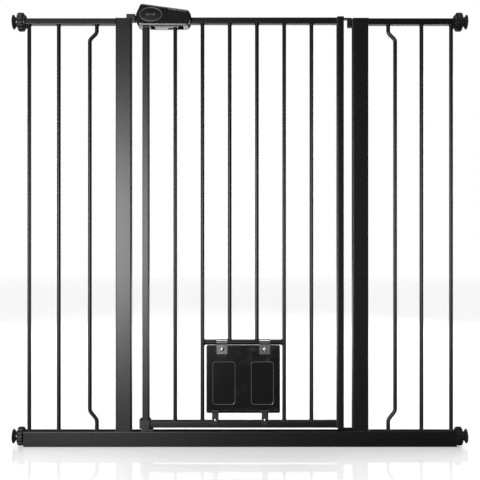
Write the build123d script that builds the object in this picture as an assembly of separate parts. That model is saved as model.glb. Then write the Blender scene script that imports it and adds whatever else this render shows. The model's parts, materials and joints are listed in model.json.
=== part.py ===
from build123d import *
import os

# Pressure-fit pet gate: a steel frame with two bar extensions, a lift-and-swing
# door with a slide lock in its handle, and a small swinging flap low in the door.
# Millimetres. X runs along the gate, Y through it (the badge side faces -Y), Z up.
# The origin is on the floor, midway between the outer pads and in the tubes' middle plane.

os.makedirs("parts", exist_ok=True)


# ---- driving dimensions ----

GATE_HALF_LENGTH = 555.0        # outer face of a pad, screwed right in
FRAME_HEIGHT = 1045.0           # top of the top rail
RAIL_HEIGHT = 38.0              # floor rail section
RAIL_DEPTH = 25.0
TOP_HEIGHT = 15.0               # top rail and door top tube section
TOP_DEPTH = 20.0
WALL = 1.5                      # steel tube wall
CORNER = 2.4                    # outside corner radius of the tubes
PLUG_CORNER = 1.2               # corner radius of the plugs pressed into them
BAR_RADIUS = 4.75               # upright round bars, drawn from thin round tube
BAR_BORE = 3.75

LEFT_POST = (-303.0, -265.0)    # X span of each post
RIGHT_POST = (275.0, 313.0)
LEFT_SEAM = -360.0              # where the frame ends and an extension starts
RIGHT_SEAM = 373.0
TOP_END = 524.0                 # cut end of the top rail
RAIL_END = 526.0                # cut end of the floor rail
BUSH_FACE = 528.0               # face that the hand wheels bear on
LEFT_BARS = (-516.0, -443.6)
RIGHT_BARS = (444.4, 517.0)
LEFT_KINK = (-350.4, -367.6)    # weld position, then main run, of a cranked bar
RIGHT_KINK = (363.0, 380.0)

AXIS_X = 268.5                  # the door swings about this upright line
LEFT_STILE = (-238.0, -222.0)
RIGHT_STILE = (237.3, 253.3)
DOOR_BOTTOM = 46.0
DOOR_BOTTOM_TUBE = 16.0         # height of the door's bottom tube
DOOR_TOP = 1047.0
DOOR_BARS = (-158.5, -91.8, 108.3, 175.0)
SHORT_BARS = (-25.1, 41.6)
LIFT = 10.0                     # the door lifts this far off its seat

ROD_Z = 254.0                   # flap hinge rod
ROD_RADIUS = 6.5
ROD_BORE = 5.3
FLAP_X = (-82.0, 98.0)
FLAP_Z = (81.0, 246.5)
FLAP_HALF_THICK = 4.0
CLIP_X = (-44.0, 60.5)
CATCH_X = (-60.0, 61.0)
CATCH_Z = 66.0                  # pivot screws of the flap catches

PIN_RADIUS = 3.0                # door hinge pins
BUSH_RADIUS = 4.95              # outside of the nylon hinge bushes
SEAT_RADIUS = 5.0               # bore that a hinge bush turns in

WHEEL_RADIUS = 22.75
WHEEL_THICK = 13.6
TOP_SPINDLE_Z = 1037.5
LOW_SPINDLE_Z = 24.0
SPINDLE_RADIUS = 4.95           # M10 screw, its thread left plain
PAD_RADIUS = 17.5

HANDLE_FRONT = -24.0
HANDLE_BACK = 25.5
PARTING_Z = 1031.0              # split between the handle's two shells
LOCK_TRAVEL = 10.0              # stroke of the slide lock


# ---- helpers ----

def block(x0, x1, y0, y1, z0, z1):
    """A plain box between two corners."""
    return Pos((x0 + x1) / 2, (y0 + y1) / 2, (z0 + z1) / 2) * Box(x1 - x0, y1 - y0, z1 - z0)


def upright_rod(x, y, z0, z1, radius):
    """A round rod standing along Z."""
    return Pos(x, y, (z0 + z1) / 2) * Cylinder(radius, z1 - z0)


def upright_bar(x, z0, z1):
    """A round tube standing along Z in the middle plane."""
    return upright_rod(x, 0, z0, z1, BAR_RADIUS) - upright_rod(x, 0, z0 - 1, z1 + 1, BAR_BORE)


def long_rod(x0, x1, y, z, radius):
    """A round rod lying along X."""
    return Pos((x0 + x1) / 2, y, z) * Rot(0, 90, 0) * Cylinder(radius, x1 - x0)


def deep_rod(x, y0, y1, z, radius):
    """A round rod lying along Y."""
    return Pos(x, (y0 + y1) / 2, z) * Rot(90, 0, 0) * Cylinder(radius, y1 - y0)


def ring_section(wide, tall, wall, corner):
    """Cut face of a rectangular tube."""
    inner_corner = max(corner - wall, 0.5)
    hole = RectangleRounded(wide - 2 * wall, tall - 2 * wall, inner_corner)
    return RectangleRounded(wide, tall, corner) - hole


def long_tube(x0, x1, z, height, depth, wall=WALL, corner=CORNER):
    """A rectangular tube lying along X, centred on height z."""
    plane = Plane(origin=(x0, 0, z), x_dir=(0, 1, 0), z_dir=(1, 0, 0))
    return extrude(plane * ring_section(depth, height, wall, corner), x1 - x0)


def upright_tube(x0, x1, z0, z1, depth, wall=WALL, corner=CORNER):
    """A rectangular tube standing along Z between x0 and x1."""
    plane = Plane(origin=((x0 + x1) / 2, 0, z0), x_dir=(1, 0, 0), z_dir=(0, 0, 1))
    return extrude(plane * ring_section(x1 - x0, depth, wall, corner), z1 - z0)


def turned(points, x, z, side):
    """A solid of revolution about a line along X.

    points hold (distance from x, radius); side is +1 or -1, the way distance counts.
    """
    profile = make_face(Polyline(*[(x + side * d, r) for d, r in points], close=True))
    solid = revolve(Plane.XZ * profile, Axis.X)
    return Pos(0, 0, z) * solid


def group(solids):
    """Several separate solids kept together under one name."""
    return Compound(children=list(solids))


def save(shape, name):
    """Write one sub-part."""
    export_step(shape, "parts/" + name + ".step")


# ---- fixed frame ----

TOP_Z = FRAME_HEIGHT - TOP_HEIGHT / 2
RAIL_Z = RAIL_HEIGHT / 2
TOP_UNDERSIDE = FRAME_HEIGHT - TOP_HEIGHT

# The floor rail ties both posts together and is the step of the doorway.
floor_rail = long_tube(LEFT_SEAM, RIGHT_SEAM, RAIL_Z, RAIL_HEIGHT, RAIL_DEPTH)
floor_rail -= upright_rod(AXIS_X, 0, RAIL_HEIGHT - 4, RAIL_HEIGHT + 2, SEAT_RADIUS)
save(floor_rail, "floor_rail")

POST_TOP = FRAME_HEIGHT - 1.5
left_post = upright_tube(*LEFT_POST, RAIL_HEIGHT, POST_TOP, RAIL_DEPTH)
save(left_post, "left_post")
right_post = upright_tube(*RIGHT_POST, RAIL_HEIGHT, POST_TOP, RAIL_DEPTH)
save(right_post, "right_post")

save(long_tube(LEFT_SEAM, LEFT_POST[0], TOP_Z, TOP_HEIGHT, TOP_DEPTH), "left_top_stub")
save(long_tube(RIGHT_POST[1], RIGHT_SEAM, TOP_Z, TOP_HEIGHT, TOP_DEPTH), "right_top_stub")


def post_cap(span):
    """A pressed-in plug with a thin flush lid."""
    x0, x1 = span
    half = RAIL_DEPTH / 2
    lid = block(x0, x1, -half, half, POST_TOP, FRAME_HEIGHT)
    lid = fillet(lid.edges().filter_by(Axis.Z), CORNER)
    inset = WALL + 0.2
    plug = block(x0 + inset, x1 - inset, -half + inset, half - inset, POST_TOP - 14, POST_TOP)
    return lid + fillet(plug.edges().filter_by(Axis.Z), PLUG_CORNER)


save(group([post_cap(LEFT_POST), post_cap(RIGHT_POST)]), "post_caps")


def cranked_bar(weld_x, main_x):
    """The bar beside a post: cranked outward so that every gap stays even."""
    points = [
        (weld_x, 0, RAIL_HEIGHT),
        (weld_x, 0, 63),
        (main_x, 0, 86.5),
        (main_x, 0, 993.5),
        (weld_x, 0, 1011),
        (weld_x, 0, TOP_UNDERSIDE),
    ]
    path = FilletPolyline(*points, radius=13)
    start = Plane(origin=points[0], x_dir=(1, 0, 0), z_dir=(0, 0, 1))
    return sweep(start * (Circle(BAR_RADIUS) - Circle(BAR_BORE)), path=path)


save(cranked_bar(*LEFT_KINK), "left_cranked_bar")
save(cranked_bar(*RIGHT_KINK), "right_cranked_bar")


# ---- bar extensions, joined by inner sleeves ----

SEAM_GAP = 0.4
save(long_tube(-TOP_END, LEFT_SEAM - SEAM_GAP, TOP_Z, TOP_HEIGHT, TOP_DEPTH), "left_extension_top")
save(long_tube(RIGHT_SEAM + SEAM_GAP, TOP_END, TOP_Z, TOP_HEIGHT, TOP_DEPTH), "right_extension_top")
save(long_tube(-RAIL_END, LEFT_SEAM - SEAM_GAP, RAIL_Z, RAIL_HEIGHT, RAIL_DEPTH), "left_extension_rail")
save(long_tube(RIGHT_SEAM + SEAM_GAP, RAIL_END, RAIL_Z, RAIL_HEIGHT, RAIL_DEPTH), "right_extension_rail")

left_bars = [upright_bar(x, RAIL_HEIGHT, TOP_UNDERSIDE) for x in LEFT_BARS]
right_bars = [upright_bar(x, RAIL_HEIGHT, TOP_UNDERSIDE) for x in RIGHT_BARS]
save(group(left_bars), "left_extension_bars")
save(group(right_bars), "right_extension_bars")

SLEEVE_HALF = 30.0
SLEEVE_PLAY = 0.15
sleeves = []
for seam in (LEFT_SEAM - SEAM_GAP / 2, RIGHT_SEAM + SEAM_GAP / 2):
    for z, height, depth in ((TOP_Z, TOP_HEIGHT, TOP_DEPTH), (RAIL_Z, RAIL_HEIGHT, RAIL_DEPTH)):
        inset = 2 * (WALL + SLEEVE_PLAY)
        x0, x1 = seam - SLEEVE_HALF, seam + SLEEVE_HALF
        sleeves.append(long_tube(x0, x1, z, height - inset, depth - inset, 1.2, 1.6))
save(group(sleeves), "joining_sleeves")


# ---- spindle bushes in the four tube ends ----

def end_bush(side, end, z, tube_z, height, depth, round_flange):
    """A plastic plug that guides a spindle and gives its hand wheel a face to bear on."""
    inset = 2 * (WALL + 0.1)
    x0, x1 = sorted((side * (end - 26), side * end))
    plug = block(x0, x1, -(depth - inset) / 2, (depth - inset) / 2,
                 tube_z - (height - inset) / 2, tube_z + (height - inset) / 2)
    plug = fillet(plug.edges().filter_by(Axis.X), PLUG_CORNER)
    f0, f1 = sorted((side * end, side * BUSH_FACE))
    if round_flange:
        flange = long_rod(f0, f1, 0, z, 16.5)
    else:
        flange = block(f0, f1, -depth / 2, depth / 2, tube_z - height / 2, tube_z + height / 2)
        flange = fillet(flange.edges().filter_by(Axis.X), CORNER)
    bore = long_rod(x0 - 5, x1 + 5, 0, z, SPINDLE_RADIUS + 0.25)
    return plug + flange - bore


bushes = []
for side in (-1, 1):
    bushes.append(end_bush(side, TOP_END, TOP_SPINDLE_Z, TOP_Z, TOP_HEIGHT, TOP_DEPTH, True))
    bushes.append(end_bush(side, RAIL_END, LOW_SPINDLE_Z, RAIL_Z, RAIL_HEIGHT, RAIL_DEPTH, False))
save(group(bushes), "spindle_bushes")


# ---- hand wheels, spindles and wall pads ----

def hand_wheel(side, z):
    """A thick fluted nut wheel, dished on its outer face, with a plain bore for the spindle."""
    near = BUSH_FACE + 0.4
    far = near + WHEEL_THICK
    points = [
        (near, SPINDLE_RADIUS + 0.05),
        (near, WHEEL_RADIUS - 2.2),
        (near + 0.7, WHEEL_RADIUS - 0.7),
        (near + 1.8, WHEEL_RADIUS),
        (far - 1.2, WHEEL_RADIUS),
        (far, WHEEL_RADIUS - 1.2),
        (far, WHEEL_RADIUS - 5.0),
        (far - 3.0, WHEEL_RADIUS - 7.5),
        (far - 3.0, 10.5),
        (far, 9.0),
        (far, SPINDLE_RADIUS + 0.05),
    ]
    wheel = turned(points, 0, z, side)
    flutes = 18
    x0, x1 = sorted((side * (near - 1), side * (far + 1)))
    flute = long_rod(x0, x1, 0, z + WHEEL_RADIUS + 1.1, 2.6)
    centre = Axis((0, 0, z), (1, 0, 0))
    cutters = [flute.rotate(centre, 360 * i / flutes + 10) for i in range(flutes)]
    for cutter in cutters:
        wheel -= cutter
    return wheel


def spindle(side, z):
    """The screw: a long shank in the tube, a collar and a flat head inside the pad."""
    points = [
        (458.0, 0),
        (458.0, SPINDLE_RADIUS - 1.2),
        (459.5, SPINDLE_RADIUS),
        (545.0, SPINDLE_RADIUS),
        (545.0, 8.0),
        (546.2, 8.0),
        (546.2, SPINDLE_RADIUS),
        (548.5, SPINDLE_RADIUS),
        (548.5, 9.0),
        (551.0, 9.0),
        (551.0, 0),
    ]
    return turned(points, 0, z, side)


def wall_pad(side, z):
    """A rubber foot, flared to a flat face with a shallow lip, moulded over the spindle head."""
    outer = [
        (546.2, 0),
        (546.2, 8.6),
        (547.6, 9.4),
        (549.6, 11.6),
        (551.6, 15.0),
        (553.0, PAD_RADIUS),
        (GATE_HALF_LENGTH, PAD_RADIUS),
        (GATE_HALF_LENGTH, 0),
    ]
    pad = turned(outer, 0, z, side)
    return pad - spindle(side, z)


for side, side_name in ((-1, "left"), (1, "right")):
    for z, level in ((TOP_SPINDLE_Z, "top"), (LOW_SPINDLE_Z, "bottom")):
        corner_name = level + "_" + side_name
        save(hand_wheel(side, z), "hand_wheel_" + corner_name)
        save(spindle(side, z), "spindle_" + corner_name)
        save(wall_pad(side, z), "pad_" + corner_name)


# ---- door hinge ----

SOCKET_TOP = 1040.5
SOCKET_BOTTOM = 1024.0
ARM_Z = (1042.6, 1046.6)
STRAP_Z = (40.2, 43.7)
BUSH_FLANGE = 1.4

socket = block(262.3, RIGHT_POST[0], -6.5, 6.5, SOCKET_BOTTOM, SOCKET_TOP)
near_edges = socket.edges().filter_by(Axis.Z).group_by(Axis.X)[0]
socket = fillet(near_edges, 5.0)
socket = chamfer(socket.faces().sort_by(Axis.Z)[-1].edges().filter_by(Axis.X), 0.8)
socket -= upright_rod(AXIS_X, 0, SOCKET_BOTTOM - 1, SOCKET_TOP + 1, SEAT_RADIUS)
save(socket, "upper_hinge_socket")

# A short steel sleeve under the rail's top wall carries the lower bush.
seat = upright_rod(AXIS_X, 0, 20.0, RAIL_HEIGHT - WALL, 7.5)
seat -= upright_rod(AXIS_X, 0, 19.0, RAIL_HEIGHT, SEAT_RADIUS)
save(seat, "lower_hinge_seat")


def hinge_bush(top_of_seat):
    """A nylon top-hat bush; the pin turns it and slides up through it."""
    low = top_of_seat - 16.2
    flange_low = top_of_seat + 0.3
    body = upright_rod(AXIS_X, 0, low, flange_low, BUSH_RADIUS)
    body += upright_rod(AXIS_X, 0, flange_low, flange_low + BUSH_FLANGE, 6.0)
    return body - upright_rod(AXIS_X, 0, low - 1, flange_low + 5, PIN_RADIUS + 0.05)


save(group([hinge_bush(SOCKET_TOP), hinge_bush(RAIL_HEIGHT)]), "hinge_bushes")


def arm_plate(x0, z0, z1):
    """A flat arm ending in a round eye on the hinge axis."""
    return block(x0, AXIS_X, -6.0, 6.0, z0, z1) + upright_rod(AXIS_X, 0, z0, z1, 6.0)


upper_arm = arm_plate(RIGHT_STILE[1], *ARM_Z)
upper_arm += upright_rod(AXIS_X, 0, SOCKET_BOTTOM + 0.6, ARM_Z[0], PIN_RADIUS)
save(upper_arm, "upper_hinge_arm")

lower_arm = arm_plate(240.0, *STRAP_Z)
riser = block(240.0, RIGHT_STILE[1], -6.0, 6.0, STRAP_Z[0], DOOR_BOTTOM)
lower_arm += riser
lower_arm += upright_rod(AXIS_X, 0, 22.0, STRAP_Z[0], PIN_RADIUS)
save(lower_arm, "lower_hinge_arm")


# ---- door leaf ----

DOOR_TOP_Z = DOOR_TOP - TOP_HEIGHT / 2
DOOR_TOP_UNDERSIDE = DOOR_TOP - TOP_HEIGHT
BOTTOM_TUBE_TOP = DOOR_BOTTOM + DOOR_BOTTOM_TUBE
door_top_tube = long_tube(LEFT_STILE[0], RIGHT_STILE[0], DOOR_TOP_Z, TOP_HEIGHT, TOP_DEPTH)
save(door_top_tube, "door_top_tube")
bottom_z = DOOR_BOTTOM + DOOR_BOTTOM_TUBE / 2
door_bottom_tube = long_tube(LEFT_STILE[1], RIGHT_STILE[0], bottom_z, DOOR_BOTTOM_TUBE, TOP_DEPTH)
save(door_bottom_tube, "door_bottom_tube")
save(upright_tube(*LEFT_STILE, DOOR_BOTTOM, DOOR_TOP_UNDERSIDE, RAIL_DEPTH), "left_stile")
save(upright_tube(*RIGHT_STILE, DOOR_BOTTOM, DOOR_TOP, RAIL_DEPTH), "right_stile")

cap_half = RAIL_DEPTH / 2
stile_cap = block(*RIGHT_STILE, -cap_half, cap_half, DOOR_TOP, DOOR_TOP + 1.8)
stile_cap = fillet(stile_cap.edges().filter_by(Axis.Z), CORNER)
cap_inset = WALL + 0.2
cap_plug = block(RIGHT_STILE[0] + cap_inset, RIGHT_STILE[1] - cap_inset,
                 -cap_half + cap_inset, cap_half - cap_inset, DOOR_TOP - 12, DOOR_TOP)
stile_cap += fillet(cap_plug.edges().filter_by(Axis.Z), PLUG_CORNER)
save(stile_cap, "stile_cap")

door_bars = [upright_bar(x, BOTTOM_TUBE_TOP, DOOR_TOP_UNDERSIDE) for x in DOOR_BARS]
save(group(door_bars), "door_bars")

flap_rod = long_rod(DOOR_BARS[1] + 3.0, DOOR_BARS[2] - 3.0, 0, ROD_Z, ROD_RADIUS)
flap_rod -= long_rod(DOOR_BARS[1], DOOR_BARS[2], 0, ROD_Z, ROD_BORE)
for x in DOOR_BARS[1:3]:
    flap_rod -= upright_rod(x, 0, ROD_Z - 20, ROD_Z + 20, BAR_RADIUS)
save(flap_rod, "flap_rod")

solid_rod = long_rod(DOOR_BARS[1], DOOR_BARS[2], 0, ROD_Z, ROD_RADIUS)
short_bars = [upright_bar(x, ROD_Z, DOOR_TOP_UNDERSIDE) - solid_rod for x in SHORT_BARS]
save(group(short_bars), "short_bars")

# A plastic shoe caps the free lower corner; it sits down on a seat block on the rail.
SHOE_Z = (44.5, 66.0)
SEAT_BLOCK_TOP = 44.1
shoe = block(-245.0, -218.6, -14.0, 14.0, *SHOE_Z)
shoe = fillet(shoe.edges().filter_by(Axis.Z), 3.0)
shoe -= block(LEFT_STILE[0] - 0.2, LEFT_STILE[1] + 0.2, -12.7, 12.7, DOOR_BOTTOM, 80)
shoe -= block(LEFT_STILE[1] - 1, -200, -10.2, 10.2, DOOR_BOTTOM, BOTTOM_TUBE_TOP + 0.2)
save(shoe, "door_shoe")

seat_block = block(-241.0, -213.0, -11.0, 11.0, RAIL_HEIGHT, SEAT_BLOCK_TOP)
seat_block = chamfer(seat_block.faces().sort_by(Axis.Z)[-1].edges(), 1.6)
seat_block -= upright_rod(-227.0, 0, RAIL_HEIGHT - 1, SEAT_BLOCK_TOP + 1, 2.1)
seat_block -= upright_rod(-227.0, 0, SEAT_BLOCK_TOP - 2.6, SEAT_BLOCK_TOP + 1, 4.2)
save(seat_block, "door_seat")


# ---- handle: two shells round the top tube, with the slide lock inside ----

OUTLINE = [
    (-246.0, 1024.0),
    (-254.0, 1037.0),
    (-251.5, 1054.0),
    (-240.5, 1077.5),
    (-125.0, 1061.5),
    (-119.0, 1051.0),
    (-119.0, 1037.0),
    (-128.0, 1024.0),
]
HANDLE_WALL = 3.0
outline = fillet(make_face(Polyline(*OUTLINE, close=True)).vertices(), 6.5)
handle_depth = HANDLE_BACK - HANDLE_FRONT
handle = extrude(Plane.XZ.offset(-HANDLE_BACK) * outline, handle_depth)
front_edges = handle.faces().sort_by(Axis.Y)[0].edges()
back_edges = handle.faces().sort_by(Axis.Y)[-1].edges()
handle = fillet(front_edges + back_edges, 5.0)

inner = offset(outline, amount=-HANDLE_WALL)
cavity = extrude(Plane.XZ.offset(-HANDLE_BACK + HANDLE_WALL) * inner, handle_depth - 2 * HANDLE_WALL)
tube_way = block(LEFT_STILE[0] - 0.3, -100, -TOP_DEPTH / 2 - 0.2, TOP_DEPTH / 2 + 0.2,
                 DOOR_TOP_UNDERSIDE - 0.2, DOOR_TOP + 0.2)
BOLT_Z = (1048.2, 1052.7)
bolt_way = block(-260, -235, -6.3, 6.3, BOLT_Z[0] - 0.3, BOLT_Z[1] + 0.3)
SCREW_SPOTS = ((-243.5, -15.5), (-243.5, 17.0), (-128.5, -13.0), (-128.5, 14.5))

upper_shell = handle & block(-300, -60, -60, 60, PARTING_Z, 1100)
upper_shell -= cavity
for x, y in SCREW_SPOTS:
    upper_shell += upright_rod(x, y, PARTING_Z, 1050, 3.6) & handle
    upper_shell -= upright_rod(x, y, PARTING_Z - 1, 1044, 1.3)
upper_shell -= tube_way
upper_shell -= bolt_way
facet = make_face(Polyline((-181, 1037), (-176, 1063.5), (-131, 1057.3), (-125, 1050), (-125, 1042),
                           (-129, 1037), close=True))
facet = fillet(facet.vertices(), 2.5)
upper_shell -= extrude(Plane.XZ.offset(-HANDLE_FRONT - 1.2) * facet, 10)
save(upper_shell, "handle_upper_shell")

SLOT_X = (-218.6, -138.0)
SLOT_HALF = 17.4
FLOOR_TOP = 1027.2
lower_shell = handle & block(-300, -60, -60, 60, 1000, PARTING_Z - 0.4)
lower_shell -= cavity & block(-300, -60, -60, 60, FLOOR_TOP, 1100)
for x, y in SCREW_SPOTS:
    lower_shell += upright_rod(x, y, FLOOR_TOP - 1, PARTING_Z - 0.4, 3.6) & handle
    lower_shell -= upright_rod(x, y, 1000, PARTING_Z, 1.6)
    lower_shell -= upright_rod(x, y, 1000, 1026.4, 3.0)
lower_shell -= block(*SLOT_X, -SLOT_HALF, SLOT_HALF, 1000, 1060)
lower_shell -= block(LEFT_STILE[0] - 0.3, LEFT_STILE[1] + 0.3, -12.8, 12.8, 1000, 1060)
save(lower_shell, "handle_lower_shell")

screws = []
for x, y in SCREW_SPOTS:
    screws.append(upright_rod(x, y, 1026.4, 1043, 1.25) + upright_rod(x, y, 1024.6, 1026.4, 2.7))
save(group(screws), "handle_screws")

BADGE_X = -216.0
BADGE_Z = 1050.0
badge_plane = Plane.XZ.offset(-HANDLE_FRONT) * Pos(BADGE_X, BADGE_Z)
badge = extrude(badge_plane * Ellipse(28.0, 17.5), 0.7)
badge += extrude(badge_plane * (Ellipse(28.0, 17.5) - Ellipse(24.8, 14.5)), 1.5)
save(badge, "handle_badge")

# The slide lock: a finger slide under the handle. Its two legs pass the top tube and
# meet in a bridge, whose peg drives a flat steel bolt that lies along the tube.
SLIDE_X = (-208.0, -150.0)
LEG_X = (-202.0, -182.0)
slide = block(*SLIDE_X, -17.0, 17.0, 1021.5, 1028.0)
slide = fillet(slide.faces().sort_by(Axis.Z)[0].edges(), 2.5)
slide += block(-210.0, SLIDE_X[1], -19.6, 19.6, 1027.6, 1029.4)
slide -= block(-176.0, -140.0, -6.5, 6.5, 1000, 1040)
BRIDGE_Z = (1052.9, 1055.4)
PEG_X = -192.0
for low, high in ((-14.6, -11.2), (11.2, 14.6)):
    slide += block(*LEG_X, low, high, 1028.0, BRIDGE_Z[1])
slide += block(*LEG_X, -14.6, 14.6, *BRIDGE_Z)
slide += upright_rod(PEG_X, 0, BOLT_Z[0] + 0.4, BRIDGE_Z[0], 2.4)
save(slide, "lock_slide")

bolt = block(-251.0, -183.0, -6.0, 6.0, *BOLT_Z)
bolt = fillet(bolt.faces().sort_by(Axis.X)[0].edges(), 1.0)
bolt -= upright_rod(PEG_X, 0, BOLT_Z[0] - 1, BOLT_Z[1] + 1, 2.45)
for x in (-222.0, -222.0 + LOCK_TRAVEL):
    bolt -= deep_rod(x, -10, 10, BOLT_Z[1] + 1.6, 2.4)
save(bolt, "latch_bolt")

# A leaf spring under the shell's roof; its bent tip clicks into the bolt's two grooves.
leaf = block(-223.0, -196.0, -3.5, 3.5, 1056.2, 1056.8)
leaf += deep_rod(-222.0, -3.5, 3.5, 1055.2, 2.0) - deep_rod(-222.0, -4.5, 4.5, 1055.2, 1.4)
leaf += block(-196.6, -196.0, -3.5, 3.5, 1056.2, 1064.0)
leaf += block(-196.0, -188.0, -3.5, 3.5, 1063.4, 1064.0)
save(leaf, "detent_spring")

# The keeper stands on the left post's cap and hangs down in front of the bolt.
KEEPER_RIGHT = -255.5
keeper = block(-277.0, KEEPER_RIGHT, -10, 10, FRAME_HEIGHT, 1055.5)
keeper = fillet(keeper.faces().sort_by(Axis.Z)[-1].edges(), 1.5)
keeper += block(LEFT_POST[1], KEEPER_RIGHT, -10, 10, 1038, FRAME_HEIGHT)
keeper = fillet(keeper.faces().sort_by(Axis.X)[-1].edges().filter_by(Axis.Z), 1.2)
keeper -= block(-267.0, -250, -7.2, 7.2, BOLT_Z[0] - 1.2, BOLT_Z[1] + 1.2)
KEEPER_SCREWS = ((-272.0, -5.5), (-272.0, 5.5))
for x, y in KEEPER_SCREWS:
    keeper -= upright_rod(x, y, 1040, 1060, 1.8)
    keeper -= upright_rod(x, y, 1053.2, 1060, 3.2)
save(keeper, "latch_keeper")

fixings = []
for x, y in KEEPER_SCREWS:
    fixings.append(upright_rod(x, y, FRAME_HEIGHT, 1053.2, 1.6) + upright_rod(x, y, 1053.2, 1055.2, 2.9))
seat_screw = upright_rod(-227.0, 0, RAIL_HEIGHT, SEAT_BLOCK_TOP - 2.5, 1.9)
seat_screw += upright_rod(-227.0, 0, SEAT_BLOCK_TOP - 2.5, SEAT_BLOCK_TOP - 0.4, 3.9)
fixings.append(seat_screw)
save(group(fixings), "frame_screws")


# ---- flap ----

panel = block(*FLAP_X, -FLAP_HALF_THICK, FLAP_HALF_THICK, *FLAP_Z)
panel = fillet(panel.edges().filter_by(Axis.Y), 4.0)
panel = fillet(panel.faces().sort_by(Axis.Y)[0].edges(), 1.2)
panel = fillet(panel.faces().sort_by(Axis.Y)[-1].edges(), 1.2)
WINDOWS = ((-66.0, -12.0), (28.0, 82.0))
WINDOW_Z = (102.0, 206.0)
for x0, x1 in WINDOWS:
    for near, far in ((-10.0, -FLAP_HALF_THICK + 2.2), (FLAP_HALF_THICK - 2.2, 10.0)):
        recess = block(x0, x1, near, far, *WINDOW_Z)
        panel -= fillet(recess.edges().filter_by(Axis.Y), 7.0)
lip = block(FLAP_X[0] + 4, FLAP_X[1] - 4, -FLAP_HALF_THICK - 1.2, -FLAP_HALF_THICK, 83.5, 87.5)
panel += fillet(lip.faces().sort_by(Axis.Y)[0].edges(), 0.8)
CLIP_WIDTH = 26.0
CLIP_BOTTOM = 225.0
CLIP_THICK = 1.2
for x in CLIP_X:
    panel -= deep_rod(x, -20, 20, 236.5, 2.1)
save(panel, "flap_panel")


def flap_clip(x):
    """A sprung steel strap bent round the rod, its legs lying on both faces of the flap."""
    x0, x1 = x - CLIP_WIDTH / 2, x + CLIP_WIDTH / 2
    bore = ROD_RADIUS + 0.1
    ring = long_rod(x0, x1, 0, ROD_Z, bore + CLIP_THICK)
    leg_out = FLAP_HALF_THICK + CLIP_THICK
    body = ring + block(x0, x1, -leg_out, leg_out, CLIP_BOTTOM, ROD_Z)
    body -= long_rod(x0 - 1, x1 + 1, 0, ROD_Z, bore)
    body -= block(x0 - 1, x1 + 1, -FLAP_HALF_THICK, FLAP_HALF_THICK, CLIP_BOTTOM - 1, ROD_Z - 4)
    return body - deep_rod(x, -20, 20, 236.5, 2.1)


save(group([flap_clip(x) for x in CLIP_X]), "flap_clips")


def dome_head(x, z, face_y, radius, height):
    """A low dome standing out of a front face."""
    sphere = (radius * radius + height * height) / (2 * height)
    ball = Pos(x, face_y + sphere - height, z) * Sphere(sphere)
    return ball & block(x - 20, x + 20, face_y - 20, face_y, z - 20, z + 20)


clip_screws = []
front = -FLAP_HALF_THICK - CLIP_THICK
for x in CLIP_X:
    screw = deep_rod(x, front, FLAP_HALF_THICK + 4.6, 236.5, 2.0)
    screw += dome_head(x, 236.5, front, 5.6, 2.6)
    nut = Pos(x, FLAP_HALF_THICK + CLIP_THICK + 1.5, 236.5) * Rot(90, 0, 0) * extrude(
        RegularPolygon(4.0, 6), 1.5, both=True)
    clip_screws.append(screw + nut)
save(group(clip_screws), "flap_clip_screws")


# ---- flap catches: turn buttons on lugs along the door's bottom tube ----

LUG_Y = (-10.0, -7.0)
BUTTON_Y = (-14.8, -10.5)
lugs = []
for x in CATCH_X:
    lug = block(x - 8, x + 8, *LUG_Y, BOTTOM_TUBE_TOP, 76.0)
    lug = fillet(lug.edges().filter_by(Axis.Y).group_by(Axis.Z)[-1], 4.0)
    lugs.append(lug - deep_rod(x, -20, 0, CATCH_Z, 2.05))
save(group(lugs), "catch_lugs")

catch_screws = []
for x in CATCH_X:
    shank = deep_rod(x, BUTTON_Y[0] - 0.4, -4.0, CATCH_Z, 2.0)
    nut = Pos(x, -5.4, CATCH_Z) * Rot(90, 0, 0) * extrude(RegularPolygon(4.0, 6), 1.5, both=True)
    catch_screws.append(shank + nut + dome_head(x, CATCH_Z, BUTTON_Y[0] - 0.4, 4.6, 2.4))
save(group(catch_screws), "catch_screws")


def turn_button(x, half_band):
    """A flat pear of plastic with a thicker finger band across its top."""
    body = block(x - 8, x + 8, *BUTTON_Y, 52.0, 86.0)
    low_edges = body.edges().filter_by(Axis.Y).group_by(Axis.Z)[0]
    body = fillet(low_edges, 6.0)
    band = block(x - half_band, x + half_band, BUTTON_Y[0] - 1.6, BUTTON_Y[1], 84.5, 91.0)
    band = fillet(band.edges().filter_by(Axis.Y), 2.0)
    body += band
    return body - deep_rod(x, -30, 0, CATCH_Z, 2.08)


save(turn_button(CATCH_X[0], 9.8), "left_flap_catch")
save(turn_button(CATCH_X[1], 12.5), "right_flap_catch")
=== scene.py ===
# %% [markdown]
# # A pet gate, dressed in Blender
# The gate is a welded steel frame, powder coated black, with plastic adjusters in its four corners, a glossy
# plastic handle and a small plastic flap. The tubes and brackets come ready-made and packed; this lesson gives
# every surface a finish worked out from nodes, and rebuilds the round, moulded and threaded pieces as
# surfaces that are computed with numpy, because a formula holds flutes, threads and weld beads better than
# a plain cut solid does.

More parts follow.
